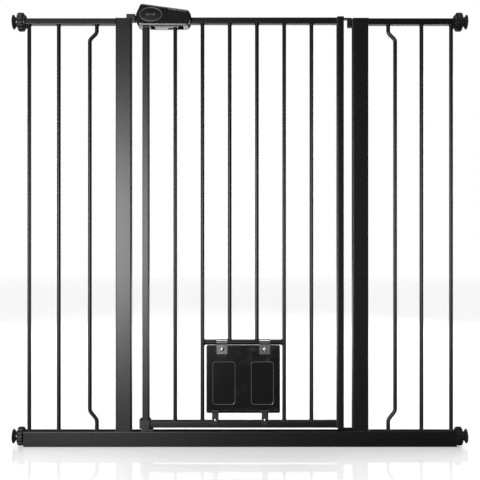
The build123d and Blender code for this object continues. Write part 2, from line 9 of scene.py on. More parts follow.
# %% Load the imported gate
import json
import math
import bpy
import numpy as np
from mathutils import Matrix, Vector


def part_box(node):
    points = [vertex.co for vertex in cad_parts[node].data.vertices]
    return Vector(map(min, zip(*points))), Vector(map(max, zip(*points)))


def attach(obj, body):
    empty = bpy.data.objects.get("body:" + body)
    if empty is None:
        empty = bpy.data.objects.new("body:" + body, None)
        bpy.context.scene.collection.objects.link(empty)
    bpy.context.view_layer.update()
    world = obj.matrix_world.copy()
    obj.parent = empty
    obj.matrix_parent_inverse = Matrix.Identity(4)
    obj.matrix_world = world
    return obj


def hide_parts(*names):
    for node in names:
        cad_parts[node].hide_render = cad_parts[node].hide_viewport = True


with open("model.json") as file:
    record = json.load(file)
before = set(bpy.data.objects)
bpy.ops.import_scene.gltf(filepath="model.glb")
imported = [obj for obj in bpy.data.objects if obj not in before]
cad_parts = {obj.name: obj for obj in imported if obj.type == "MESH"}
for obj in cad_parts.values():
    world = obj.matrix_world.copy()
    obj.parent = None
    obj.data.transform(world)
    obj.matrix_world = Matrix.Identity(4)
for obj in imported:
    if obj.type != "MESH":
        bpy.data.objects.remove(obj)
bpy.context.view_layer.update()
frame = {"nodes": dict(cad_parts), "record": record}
nodes = frame["nodes"]
MM = 0.001
TAU = 2 * math.pi

# %% [markdown]
# ## Small helpers for node trees
# Every finish below is a tree of shader nodes. Writing each link by hand hides the idea, so two short
# helpers place a node and join sockets. Patterns read Object coordinates, in metres, so that they keep
# their real size on every piece.

# %% Node helpers
def place(tree, kind, **settings):
    """Adds a node of that kind and sets its properties."""
    node = tree.nodes.new(kind)
    for key, value in settings.items():
        setattr(node, key, value)
    return node


def noise(tree, coords, scale, detail=2.0, rough=0.5):
    """A noise texture of that many waves a metre; gives its value socket."""
    node = place(tree, "ShaderNodeTexNoise")
    node.inputs["Scale"].default_value = scale
    node.inputs["Detail"].default_value = detail
    node.inputs["Roughness"].default_value = rough
    tree.links.new(coords, node.inputs["Vector"])
    return node.outputs["Fac"]


def spread(tree, value, low, high, new_low=0.0, new_high=1.0):
    """Maps low..high onto new_low..new_high, clamped; gives the result socket."""
    node = place(tree, "ShaderNodeMapRange", clamp=True)
    tree.links.new(value, node.inputs["Value"])
    for name, number in (("From Min", low), ("From Max", high), ("To Min", new_low), ("To Max", new_high)):
        link_or_set(tree, number, node.inputs[name])
    return node.outputs["Result"]


def link_or_set(tree, source, socket):
    """Links a socket, or sets a plain number."""
    if isinstance(source, bpy.types.NodeSocket):
        tree.links.new(source, socket)
    else:
        socket.default_value = source


def calc(tree, operation, a, b=0.0):
    """One arithmetic node."""
    node = place(tree, "ShaderNodeMath", operation=operation)
    link_or_set(tree, a, node.inputs[0])
    link_or_set(tree, b, node.inputs[1])
    return node.outputs[0]


def mixed(tree, mask, one, two):
    """Colour one where mask is 0 and two where it is 1."""
    node = place(tree, "ShaderNodeMix", data_type="RGBA")
    link_or_set(tree, mask, node.inputs["Factor"])
    for value, socket in ((one, node.inputs["A"]), (two, node.inputs["B"])):
        if isinstance(value, bpy.types.NodeSocket):
            tree.links.new(value, socket)
        else:
            socket.default_value = (*value, 1.0)
    return node.outputs["Result"]


def group_of(name, inputs, outputs):
    """An empty shader node group with named sockets; gives the tree and its two end nodes."""
    tree = bpy.data.node_groups.new(name, "ShaderNodeTree")
    for socket_name, socket_type, value in inputs:
        made = tree.interface.new_socket(socket_name, in_out="INPUT", socket_type=socket_type)
        if value is not None:
            made.default_value = value
    for socket_name, socket_type in outputs:
        tree.interface.new_socket(socket_name, in_out="OUTPUT", socket_type=socket_type)
    return tree, place(tree, "NodeGroupInput"), place(tree, "NodeGroupOutput")


print("helpers ready")

# %% [markdown]
# ## Shared effect: mottle
# No sprayed or moulded surface has one colour and one gloss. A broad, soft noise drifts both a little, and a
# fine one breaks up the highlight. The group gives one mask for colour and one value for roughness.

# %% Group: mottle
FLOAT = "NodeSocketFloat"
VECTOR = "NodeSocketVector"

tree, ends, out = group_of(
    "mottle",
    [("Coords", VECTOR, None), ("Broad", FLOAT, 9.0), ("Fine", FLOAT, 300.0),
     ("Roughness", FLOAT, 0.4), ("Drift", FLOAT, 0.06)],
    [("Mask", FLOAT), ("Roughness", FLOAT)],
)
broad = place(tree, "ShaderNodeTexNoise")
fine = place(tree, "ShaderNodeTexNoise")
for node, socket in ((broad, "Broad"), (fine, "Fine")):
    tree.links.new(ends.outputs["Coords"], node.inputs["Vector"])
    tree.links.new(ends.outputs[socket], node.inputs["Scale"])
    node.inputs["Detail"].default_value = 3.0
both = calc(tree, "ADD", calc(tree, "MULTIPLY", broad.outputs["Fac"], 0.65),
            calc(tree, "MULTIPLY", fine.outputs["Fac"], 0.35))
centred = calc(tree, "MULTIPLY", calc(tree, "SUBTRACT", both, 0.5), 2.0)
shift = calc(tree, "MULTIPLY", centred, ends.outputs["Drift"])
tree.links.new(calc(tree, "ADD", ends.outputs["Roughness"], shift), out.inputs["Roughness"])
tree.links.new(spread(tree, both, 0.35, 0.65), out.inputs["Mask"])
MOTTLE = tree

# %% [markdown]
# ## Shared effect: settled dust
# Household dust lies on faces that look up. The surface normal's Z tells how much a face looks up; a noise
# breaks the film into patches. The mask lightens the colour and dulls the gloss a little.

# %% Group: dust
tree, ends, out = group_of(
    "dust",
    [("Coords", VECTOR, None), ("Amount", FLOAT, 0.3)],
    [("Mask", FLOAT)],
)
geometry = place(tree, "ShaderNodeNewGeometry")
split = place(tree, "ShaderNodeSeparateXYZ")
tree.links.new(geometry.outputs["Normal"], split.inputs[0])
upward = spread(tree, split.outputs["Z"], 0.35, 0.95)
patch = spread(tree, noise(tree, ends.outputs["Coords"], 120.0, 4.0, 0.6), 0.35, 0.75)
mask = calc(tree, "MULTIPLY", calc(tree, "MULTIPLY", upward, patch), ends.outputs["Amount"])
tree.links.new(mask, out.inputs["Mask"])
DUST = tree

# %% [markdown]
# ## Shared effect: worn edges and painted edge highlight
# Corners and rims are rubbed first, and plastic is burnished pale there. The pale colour on convex edges is partly
# that wear and partly a painted highlight, standing in for the shine that rounded edges catch. Pointiness, which
# Cycles measures at the mesh's corners, is high on a convex edge. It is multiplied by a noise, so wear comes in
# patches. It needs a fine
# mesh: a tube's flat side has corners only at its ends, so the mask would spread over all of it. The powder
# coat, which is mostly on such sides, is therefore left without it.

# %% Group: worn edges and painted edge highlight
tree, ends, out = group_of(
    "worn edges and painted edge highlight",
    [("Coords", VECTOR, None), ("Start", FLOAT, 0.53), ("Full", FLOAT, 0.62), ("Patch Scale", FLOAT, 60.0)],
    [("Mask", FLOAT)],
)
geometry = place(tree, "ShaderNodeNewGeometry")
edge = place(tree, "ShaderNodeMapRange", clamp=True)
tree.links.new(geometry.outputs["Pointiness"], edge.inputs["Value"])
tree.links.new(ends.outputs["Start"], edge.inputs["From Min"])
tree.links.new(ends.outputs["Full"], edge.inputs["From Max"])
patchy = place(tree, "ShaderNodeTexNoise")
patchy.inputs["Detail"].default_value = 4.0
tree.links.new(ends.outputs["Coords"], patchy.inputs["Vector"])
tree.links.new(ends.outputs["Patch Scale"], patchy.inputs["Scale"])
patches = spread(tree, patchy.outputs["Fac"], 0.42, 0.66)
tree.links.new(calc(tree, "MULTIPLY", edge.outputs["Result"], patches), out.inputs["Mask"])
WEAR_AND_EDGE_HIGHLIGHT = tree

# %% [markdown]
# ## Shared effect: skin
# Powder coat cures with a faint orange peel, and moulds are spark-eroded so that plastic comes out with a fine
# grain. Both are a height made of two noises, one coarse and one fine, mixed by a named amount. Each finish
# feeds that height to its own Bump node.

# %% Group: skin
tree, ends, out = group_of(
    "skin",
    [("Coords", VECTOR, None), ("Coarse", FLOAT, 500.0), ("Fine", FLOAT, 1600.0), ("Fine Share", FLOAT, 0.4)],
    [("Height", FLOAT)],
)
coarse = place(tree, "ShaderNodeTexNoise")
grain = place(tree, "ShaderNodeTexNoise")
for node, socket, detail in ((coarse, "Coarse", 1.0), (grain, "Fine", 3.0)):
    tree.links.new(ends.outputs["Coords"], node.inputs["Vector"])
    tree.links.new(ends.outputs[socket], node.inputs["Scale"])
    node.inputs["Detail"].default_value = detail
coarse_part = calc(tree, "MULTIPLY", coarse.outputs["Fac"], calc(tree, "SUBTRACT", 1.0, ends.outputs["Fine Share"]))
fine_part = calc(tree, "MULTIPLY", grain.outputs["Fac"], ends.outputs["Fine Share"])
tree.links.new(calc(tree, "ADD", coarse_part, fine_part), out.inputs["Height"])
SKIN = tree
print("effect groups:", [g.name for g in bpy.data.node_groups])

# %% [markdown]
# ## A finish from parts
# Each finish is one Principled BSDF whose colour, roughness and normal come from the shared effects. What is
# the same all over, such as metallic or coat, is set straight on the shader.

# %% Finish builder
def use(tree, effect, coords, **values):
    """Places an effect group, joins its Coords and sets its named values."""
    node = place(tree, "ShaderNodeGroup")
    node.node_tree = effect
    tree.links.new(coords, node.inputs["Coords"])
    for name, value in values.items():
        node.inputs[name.replace("_", " ")].default_value = value
    return node.outputs


def finish(name, deep, pale, rough, drift=0.06, metallic=0.0, coat=0.0, coat_rough=0.05, dust=0.25,
           skin=(500.0, 1600.0, 0.4), bump=0.00004, edge_wear_and_highlight=None, edge_wear_and_highlight_at=(0.54, 0.64), broad=9.0,
           specular=0.5):
    """A full finish: mottled colour between deep and pale, dust on top, worn edges with a painted edge highlight, and
    a fine skin.
    """
    material = bpy.data.materials.new(name)
    material.use_nodes = True
    tree = material.node_tree
    shader = tree.nodes["Principled BSDF"]
    coords = place(tree, "ShaderNodeTexCoord").outputs["Object"]
    mottle = use(tree, MOTTLE, coords, Broad=broad, Fine=320.0, Roughness=rough, Drift=drift)
    colour = mixed(tree, mottle["Mask"], deep, pale)
    roughness = mottle["Roughness"]
    # Convex edges are painted paler here: partly wear, partly a painted highlight on the edges.
    if edge_wear_and_highlight:
        rub_and_highlight = use(tree, WEAR_AND_EDGE_HIGHLIGHT, coords, Start=edge_wear_and_highlight_at[0], Full=edge_wear_and_highlight_at[1])["Mask"]
        colour = mixed(tree, rub_and_highlight, colour, edge_wear_and_highlight)
        roughness = calc(tree, "SUBTRACT", roughness, calc(tree, "MULTIPLY", rub_and_highlight, 0.08))
    if dust:
        film = use(tree, DUST, coords, Amount=dust)["Mask"]
        colour = mixed(tree, film, colour, (0.22, 0.21, 0.20))
        roughness = calc(tree, "ADD", roughness, calc(tree, "MULTIPLY", film, 0.25))
    height = use(tree, SKIN, coords, Coarse=skin[0], Fine=skin[1], Fine_Share=skin[2])["Height"]
    relief = place(tree, "ShaderNodeBump")
    relief.inputs["Distance"].default_value = bump
    relief.inputs["Strength"].default_value = 1.0
    tree.links.new(height, relief.inputs["Height"])
    tree.links.new(colour, shader.inputs["Base Color"])
    tree.links.new(roughness, shader.inputs["Roughness"])
    tree.links.new(relief.outputs["Normal"], shader.inputs["Normal"])
    shader.inputs["Metallic"].default_value = metallic
    shader.inputs["Coat Weight"].default_value = coat
    shader.inputs["Coat Roughness"].default_value = coat_rough
    shader.inputs["Specular IOR Level"].default_value = specular
    return material


# %% [markdown]
# ## The finishes
# Black powder coat is satin with a peel of about 2 mm; the handle is the same black but polished, with a
# lacquer-like top gloss; wheels and brackets are grained nylon; screws and clips are plated steel.

# %% Materials
# The edge colours given below paint convex edges paler: partly wear, partly a painted edge highlight.
powder_coat = finish("black powder coat", (0.0050, 0.0050, 0.0052), (0.0062, 0.0062, 0.0064), 0.33, drift=0.012,
                     skin=(420.0, 1500.0, 0.25), bump=0.000012, dust=0.012, broad=16.0)
handle_gloss = finish("polished handle plastic", (0.007, 0.007, 0.0075), (0.011, 0.011, 0.012), 0.20, drift=0.04,
                      coat=0.8, coat_rough=0.06, skin=(300.0, 1200.0, 0.2), bump=0.000012, dust=0.08)
grained_plastic = finish("grained black plastic", (0.010, 0.010, 0.0105), (0.017, 0.017, 0.018), 0.48, drift=0.07,
                         skin=(900.0, 2600.0, 0.6), bump=0.00006, edge_wear_and_highlight=(0.05, 0.05, 0.052), dust=0.2)
wheel_plastic = finish("hand wheel plastic", (0.0055, 0.0055, 0.0058), (0.009, 0.009, 0.0093), 0.40, drift=0.06,
                       skin=(800.0, 2400.0, 0.6), bump=0.00004, edge_wear_and_highlight=(0.03, 0.03, 0.031), dust=0.1)
flap_plastic = finish("flap plastic", (0.0045, 0.0045, 0.0047), (0.0062, 0.0062, 0.0064), 0.20, drift=0.03,
                      skin=(700.0, 2200.0, 0.5), bump=0.000012, edge_wear_and_highlight=(0.06, 0.06, 0.062), dust=0.15)
# The window frames' pale grey is a painted highlight: the raised rims are coloured light in place of the light they
# catch.
frame_plastic_painted_highlight = finish("window frame plastic, painted highlight", (0.10, 0.10, 0.102), (0.14, 0.14, 0.143), 0.22, drift=0.03, coat=1.0,
                       skin=(700.0, 2200.0, 0.5), bump=0.00001, dust=0.1)
badge_black = finish("badge black", (0.010, 0.010, 0.012), (0.018, 0.018, 0.020), 0.25, coat=0.5, dust=0.05,
                     bump=0.00001)
badge_grey = finish("badge grey", (0.085, 0.085, 0.09), (0.12, 0.12, 0.125), 0.34, dust=0.05, bump=0.00002)
plated_steel = finish("bright plated steel", (0.42, 0.42, 0.43), (0.52, 0.52, 0.52), 0.22, drift=0.06,
                      metallic=1.0, skin=(600.0, 3000.0, 0.7), bump=0.00001, dust=0.1, edge_wear_and_highlight=(0.75, 0.75, 0.75))
zinc_steel = finish("zinc plated steel", (0.42, 0.42, 0.40), (0.58, 0.57, 0.54), 0.38, drift=0.12, metallic=1.0,
                    skin=(500.0, 2600.0, 0.7), bump=0.00002, dust=0.1, broad=40.0)
nylon = finish("black nylon", (0.008, 0.008, 0.0082), (0.013, 0.013, 0.0132), 0.42, bump=0.00003, dust=0.1)
rubber = finish("pad rubber", (0.012, 0.012, 0.012), (0.024, 0.024, 0.023), 0.72, drift=0.08,
                skin=(1200.0, 3600.0, 0.6), bump=0.00008, dust=0.35, edge_wear_and_highlight=(0.06, 0.06, 0.06))
SLOT_FINISH = {
    "black_powder_coat": powder_coat,
    "zinc_steel": zinc_steel,
    "bright_steel": plated_steel,
    "black_plastic": grained_plastic,
    "wheel_plastic": wheel_plastic,
    "gloss_handle_plastic": handle_gloss,
    "badge_plastic": badge_black,
    "nylon": nylon,
    "pad_rubber": rubber,
}
for entry in frame["record"]["subparts"]:
    mesh = nodes[entry["node"]].data
    mesh.materials.clear()
    mesh.materials.append(SLOT_FINISH[entry["material_slot"]])
print(len(SLOT_FINISH), "finishes on", len(nodes), "nodes")

# %% [markdown]
# ## Surfaces from numpy
# Every new piece below is one or more closed shells. A shell is a grid of points: its columns run round the
# piece, its rows run along it, and a fan of triangles closes each end. A ring, such as a bore or a weld run, has
# no ends, so its rows join up too. Modelling tools could build these by hand, but a formula gives an even
# flute, a true thread and a smooth bead, and one change of a number changes them all.

# %% Grids into closed shells
def grid_quads(rows, cols, rows_join):
    """Four corners for each cell of a grid whose columns run round; rows_join closes the other way too."""
    index = np.arange(rows * cols).reshape(rows, cols)
    index = np.hstack([index, index[:, :1]])
    if rows_join:
        index = np.vstack([index, index[:1]])
    cells = np.stack([index[:-1, :-1], index[:-1, 1:], index[1:, 1:], index[1:, :-1]], axis=-1)
    return cells.reshape(-1, 4)


def outward(points, quads, fans):
    """Turns all faces outwards: the solid's volume, summed as tetrahedra from the origin, must be positive."""
    triangles = np.vstack([quads[:, [0, 1, 2]], quads[:, [0, 2, 3]], fans])
    a, b, c = points[triangles[:, 0]], points[triangles[:, 1]], points[triangles[:, 2]]
    if np.sum(a * np.cross(b, c)) < 0:
        quads, fans = quads[:, ::-1], fans[:, ::-1]
    return points, quads, fans


def rod_shell(grid):
    """A closed shell with two ends: each end row is closed by a fan round its own middle."""
    rows, cols = grid.shape[:2]
    points = np.vstack([grid.reshape(-1, 3), grid[0].mean(axis=0), grid[-1].mean(axis=0)])
    here = np.arange(cols)
    after = np.roll(here, -1)
    last = (rows - 1) * cols
    first_fan = np.stack([np.full(cols, rows * cols), after, here], axis=-1)
    last_fan = np.stack([np.full(cols, rows * cols + 1), last + here, last + after], axis=-1)
    return outward(points, grid_quads(rows, cols, False), np.vstack([first_fan, last_fan]))


def ring_shell(grid):
    """A closed shell with no ends: both directions join up, as on a ring."""
    rows, cols = grid.shape[:2]
    return outward(grid.reshape(-1, 3), grid_quads(rows, cols, True), np.zeros((0, 3), int))


def make_piece(name, shells, look, body, stands_for=(), crease=32):
    """Joins shells into one mesh, smooth but for edges sharper than crease, and gives it to its body."""
    counts = np.cumsum([0] + [len(shell[0]) for shell in shells])
    points = np.vstack([shell[0] for shell in shells])
    faces = []
    for start, (_, quads, fans) in zip(counts, shells):
        faces += (quads + start).tolist() + (fans + start).tolist()
    mesh = bpy.data.meshes.new(name)
    mesh.from_pydata(points, [], faces)
    mesh.shade_smooth()
    mesh.set_sharp_from_angle(angle=math.radians(crease))
    mesh.materials.append(look)
    piece = bpy.data.objects.new(name, mesh)
    bpy.context.scene.collection.objects.link(piece)
    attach(piece, body)
    if stands_for:
        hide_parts(*stands_for)
    print(name, "from", len(shells), "shells,", len(faces), "faces")
    return piece


# %% [markdown]
# ## Where things are
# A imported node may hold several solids, such as four bars. Its points, sorted along X, fall into clumps, and
# each gap between clumps is wider than any one solid, so the clumps' middles are the solids' places.

# %% Places read from the frame
def spans_along(node, axis, gap):
    """(low, high) of each clump of a node's points along an axis, split where a step is over gap."""
    mesh = nodes[node].data
    flat = np.empty(len(mesh.vertices) * 3)
    mesh.vertices.foreach_get("co", flat)
    values = np.sort(flat.reshape(-1, 3)[:, axis])
    cuts = np.nonzero(np.diff(values) > gap)[0]
    lows = np.concatenate([values[:1], values[cuts + 1]])
    highs = np.concatenate([values[cuts], values[-1:]])
    return np.stack([lows, highs], axis=-1)


def middles_along(node, axis=0, gap=0.012):
    """Middle of each clump."""
    return spans_along(node, axis, gap).mean(axis=1)


rail_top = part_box("floor_rail")[1][2]
top_rail_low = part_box("left_top_stub")[0][2]
door_low_tube_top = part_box("door_bottom_tube")[1][2]
door_top_tube_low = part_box("door_top_tube")[0][2]
print("door bars at x", np.round(middles_along("door_bars"), 4))

# %% [markdown]
# ## Round bars and their welds
# Each bar is thin round tube butted between two rectangular tubes and welded all round, so its ends flare into
# a small fillet of weld metal under the powder coat. A cut cylinder would meet the tube in a dead sharp line.
# Here the bar is a circle carried along its middle line, and its radius grows near each end like a quarter of
# an ellipse. The two bars beside the posts are cranked: their middle line slides sideways by a smooth step.

# %% Bars along a path
BAR_RADIUS = 4.75 * MM
WELD_WIDE = 1.5 * MM
WELD_TALL = 2.6 * MM


def carried_circle(centres, radii, sides=32):
    """A circle carried along a line in the XZ plane: centre + radius * (cos t * normal + sin t * Y)."""
    tangent = np.gradient(centres, axis=0)
    tangent /= np.linalg.norm(tangent, axis=1, keepdims=True)
    normal = np.stack([tangent[:, 2], np.zeros(len(centres)), -tangent[:, 0]], axis=-1)
    turn = TAU * np.arange(sides) / sides
    across = np.cos(turn)[None, :, None] * normal[:, None, :]
    across = across + np.sin(turn)[None, :, None] * np.array([0.0, 1.0, 0.0])
    return centres[:, None, :] + radii[:, None, None] * across


def with_welds(distance, radius):
    """Radius plus a quarter-ellipse of weld: wide * sqrt(1 - (distance / tall)^2) close to an end."""
    near = np.clip(1 - (distance / WELD_TALL) ** 2, 0, 1)
    return radius + WELD_WIDE * np.sqrt(near)


def rows_between(low, high, middle_rows):
    """Heights from low to high: close together in the last 3 mm at both ends, evenly spread between."""
    end = WELD_TALL * np.sin(np.linspace(0, math.pi / 2, 7))
    inside = np.linspace(low + WELD_TALL, high - WELD_TALL, middle_rows)
    return np.unique(np.concatenate([low + end, inside, high - end]))


def straight_bar(x, low, high):
    """An upright bar with a weld at both ends."""
    z = rows_between(low, high, 8)
    centres = np.stack([np.full(len(z), x), np.zeros(len(z)), z], axis=-1)
    return rod_shell(carried_circle(centres, with_welds(np.minimum(z - low, high - z), BAR_RADIUS)))


for node in ("left_extension_bars", "right_extension_bars"):
    shells = [straight_bar(x, rail_top, top_rail_low) for x in middles_along(node)]
    make_piece(node + "_round", shells, powder_coat, "frame", (node,))
shells = [straight_bar(x, door_low_tube_top, door_top_tube_low) for x in middles_along("door_bars")]
make_piece("door_bars_round", shells, powder_coat, "door", ("door_bars",))

# %% Cranked bars
LOW_CRANK = (63 * MM, 86.5 * MM)
HIGH_CRANK = (993.5 * MM, 1011 * MM)


def smooth_step(value, low, high):
    """0 below low, 1 above high, and half a cosine wave between them."""
    part = np.clip((value - low) / (high - low), 0, 1)
    return 0.5 - 0.5 * np.cos(math.pi * part)


def cranked_bar(node, outward_side):
    """The middle line runs at the weld's x near both ends and steps to the main run's x between them."""
    low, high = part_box(node)
    inner, outer = low[0] + BAR_RADIUS, high[0] - BAR_RADIUS
    weld_x, main_x = (inner, outer) if outward_side > 0 else (outer, inner)
    z = np.unique(np.concatenate([rows_between(rail_top, top_rail_low, 40),
                                  np.linspace(LOW_CRANK[0] - 5 * MM, LOW_CRANK[1] + 5 * MM, 30),
                                  np.linspace(HIGH_CRANK[0] - 5 * MM, HIGH_CRANK[1] + 5 * MM, 30)]))
    away = smooth_step(z, LOW_CRANK[0] - 4 * MM, LOW_CRANK[1] + 4 * MM)
    away = away - smooth_step(z, HIGH_CRANK[0] - 4 * MM, HIGH_CRANK[1] + 4 * MM)
    centres = np.stack([weld_x + (main_x - weld_x) * away, np.zeros(len(z)), z], axis=-1)
    radii = with_welds(np.minimum(z - rail_top, top_rail_low - z), BAR_RADIUS)
    make_piece(node + "_round", [rod_shell(carried_circle(centres, radii))], powder_coat, "frame",
               (node,))


cranked_bar("left_cranked_bar", -1)
cranked_bar("right_cranked_bar", 1)

# %% [markdown]
# ## The flap's rod and the short bars above it
# The rod runs level between two door bars and carries the flap. It is fatter than the bars, and its own ends are
# welded to them. The two short bars stand on it, so they start just inside the rod and flare where they leave
# its top.

# %% Rod and short bars
rod_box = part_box("flap_rod")
ROD_RADIUS = (rod_box[1][2] - rod_box[0][2]) / 2
rod_z = (rod_box[0][2] + rod_box[1][2]) / 2
bar_left, bar_right = middles_along("door_bars")[1:3]
x = rows_between(bar_left + BAR_RADIUS, bar_right - BAR_RADIUS, 10)
x = np.concatenate([[bar_left + 2 * MM], x, [bar_right - 2 * MM]])
reach = np.minimum(x - bar_left, bar_right - x) - BAR_RADIUS
centres = np.stack([x, np.zeros(len(x)), np.full(len(x), rod_z)], axis=-1)
rod = rod_shell(carried_circle(centres, with_welds(np.maximum(reach, 0), ROD_RADIUS), 40))
make_piece("flap_rod_round", [rod], powder_coat, "door", ("flap_rod",))

shells = []
for x in middles_along("short_bars"):
    foot = rod_z + ROD_RADIUS - 1.2 * MM
    shells.append(straight_bar(x, foot, door_top_tube_low))
make_piece("short_bars_round", shells, powder_coat, "door", ("short_bars",))

# %% [markdown]
# ## Outlines with rounded corners
# Many pieces are flat shapes: plates, buttons, badge, and the path of a weld round a tube. Each starts as a few
# corners. An arc replaces every corner, tangent to both sides, and the result can be spread evenly along its
# length so that ripples and edges come out regular.

# %% Rounded outlines
def rounded(corners, radius, per_arc=7):
    """Replaces each corner by an arc: the centre lies on the bisector, radius / sin(half the angle) away."""
    corners = np.asarray(corners, float)
    before = np.roll(corners, 1, axis=0) - corners
    after = np.roll(corners, -1, axis=0) - corners
    before /= np.linalg.norm(before, axis=1, keepdims=True)
    after /= np.linalg.norm(after, axis=1, keepdims=True)
    half = np.arccos(np.clip(np.sum(before * after, axis=1), -1, 1)) / 2
    bisector = before + after
    bisector /= np.linalg.norm(bisector, axis=1, keepdims=True)
    radius = np.broadcast_to(radius, len(corners)).astype(float)
    centre = corners + bisector * (radius / np.sin(half))[:, None]
    start = corners + before * (radius / np.tan(half))[:, None] - centre
    stop = corners + after * (radius / np.tan(half))[:, None] - centre
    first = np.arctan2(start[:, 1], start[:, 0])
    swing = np.arctan2(stop[:, 1], stop[:, 0]) - first
    swing = (swing + math.pi) % TAU - math.pi
    angles = first[:, None] + swing[:, None] * np.linspace(0, 1, per_arc)[None, :]
    arcs = np.stack([np.cos(angles), np.sin(angles)], axis=-1) * radius[:, None, None]
    return (centre[:, None, :] + arcs).reshape(-1, 2)


def evenly(outline, count):
    """The same closed outline as count points at equal steps along its length."""
    closed = np.vstack([outline, outline[:1]])
    length = np.concatenate([[0], np.cumsum(np.linalg.norm(np.diff(closed, axis=0), axis=1))])
    at = np.linspace(0, length[-1], count, endpoint=False)
    return np.stack([np.interp(at, length, closed[:, 0]), np.interp(at, length, closed[:, 1])], axis=-1)


def outline_normals(outline):
    """Unit normals that point away from the outline's inside."""
    along = np.roll(outline, -1, axis=0) - np.roll(outline, 1, axis=0)
    along /= np.linalg.norm(along, axis=1, keepdims=True)
    normal = np.stack([along[:, 1], -along[:, 0]], axis=-1)
    x, y = outline.T
    area = np.sum(x * np.roll(y, -1) - y * np.roll(x, -1))
    return normal if area > 0 else -normal


def rectangle(x0, x1, y0, y1):
    """Four corners of a rectangle."""
    return [(x0, y0), (x1, y0), (x1, y1), (x0, y1)]


# %% [markdown]
# ## Welds round the tubes
# A post stands on the floor rail in a run of weld all round. A weld laid by hand or robot is a chain of small
# frozen puddles, so the bead swells and shrinks along its length. The bead is a small circle carried round the
# tube's outline, its radius rippled by a cosine of the distance.

# %% Weld runs
BEAD = 1.5 * MM


def weld_run(outline, plane, level, puddle=2.4 * MM):
    """A circle of radius BEAD * (1 + 0.12 cos(distance / puddle)) carried round an outline in a plane."""
    length = np.sum(np.linalg.norm(np.roll(outline, -1, axis=0) - outline, axis=1))
    count = int(length / (puddle / 4))
    path = evenly(outline, count)
    normal = outline_normals(path)
    turns = round(length / puddle)
    radius = BEAD * (1 + 0.12 * np.cos(TAU * turns * np.arange(count) / count))
    angle = TAU * np.arange(10) / 10
    sideways = path[:, None, :] + normal[:, None, :] * (radius[:, None] * np.cos(angle))[:, :, None]
    lift = level + radius[:, None] * np.sin(angle)
    if plane == "XY":
        grid = np.stack([sideways[..., 0], sideways[..., 1], lift], axis=-1)
    else:
        grid = np.stack([lift, sideways[..., 0], sideways[..., 1]], axis=-1)
    return ring_shell(grid)


def tube_outline(low, high, a, b, inset=0.5 * MM, corner=2.4 * MM):
    """A tube's rounded outline from its box, on axes a and b."""
    corners = rectangle(low[a] + inset, high[a] - inset, low[b] + inset, high[b] - inset)
    return rounded(corners, corner, 6)


frame_welds = []
for post in ("left_post", "right_post"):
    low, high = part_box(post)
    frame_welds.append(weld_run(tube_outline(low, high, 0, 1), "XY", rail_top))
for stub, side in (("left_top_stub", 1), ("right_top_stub", 0)):
    low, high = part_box(stub)
    frame_welds.append(weld_run(tube_outline(low, high, 1, 2), "YZ", (low, high)[side][0]))
low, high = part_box("upper_hinge_socket")
frame_welds.append(weld_run(tube_outline(low, high, 1, 2, corner=1.0 * MM), "YZ", high[0]))
make_piece("frame_welds", frame_welds, powder_coat, "frame")

low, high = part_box("door_bottom_tube")
door_welds = [weld_run(tube_outline(low, high, 1, 2), "YZ", low[0]),
              weld_run(tube_outline(low, high, 1, 2), "YZ", high[0])]
low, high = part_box("door_top_tube")
door_welds.append(weld_run(tube_outline(low, high, 1, 2), "YZ", high[0]))
low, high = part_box("left_stile")
door_welds.append(weld_run(tube_outline(low, high, 0, 1), "XY", high[2]))
make_piece("door_welds", door_welds, powder_coat, "door")

# %% [markdown]
# ## Hand wheels
# Each corner has a hand wheel, a plastic nut that is turned to push the pad against the wall. Its rim is fluted
# for grip and its outer face is dished. The wheel is a closed outline, in distance along the spindle and
# radius, turned about the spindle's line; in the rim the radius is limited by eighteen round flutes.

# %% Fluted wheels
SPINDLE_RADIUS = 4.95 * MM
FLUTES = 18
FLUTE_RADIUS = 2.7 * MM
FLUTE_SET_OUT = 1.1 * MM
FLUTE_TURN = 0.17
DISH_DEEP = 3.0 * MM


def turned(profile, z, radius_rule=None, columns=72):
    """Turns (x, radius) points about the line y = 0, z: (x, r sin t, z + r cos t)."""
    turn = TAU * np.arange(columns) / columns
    x, radius = np.broadcast_arrays(profile[:, :1], profile[:, 1:])
    radius = np.repeat(radius, columns, axis=1)
    if radius_rule is not None:
        radius = radius_rule(np.repeat(x, columns, axis=1), radius, turn[None, :])
    return np.stack([np.repeat(x, columns, axis=1), radius * np.sin(turn), z + radius * np.cos(turn)], axis=-1)


def fluted(limit):
    """The radius is cut to limit - (sqrt(g^2 - s^2) - k), s the arc distance from the nearest flute's middle."""
    def rule(_, radius, turn):
        pitch = TAU / FLUTES
        off = ((turn + FLUTE_TURN) % pitch - pitch / 2) * limit
        depth = np.sqrt(np.clip(FLUTE_RADIUS ** 2 - off ** 2, 0, None)) - FLUTE_SET_OUT
        return np.minimum(radius, limit - np.clip(depth, 0, None))
    return rule


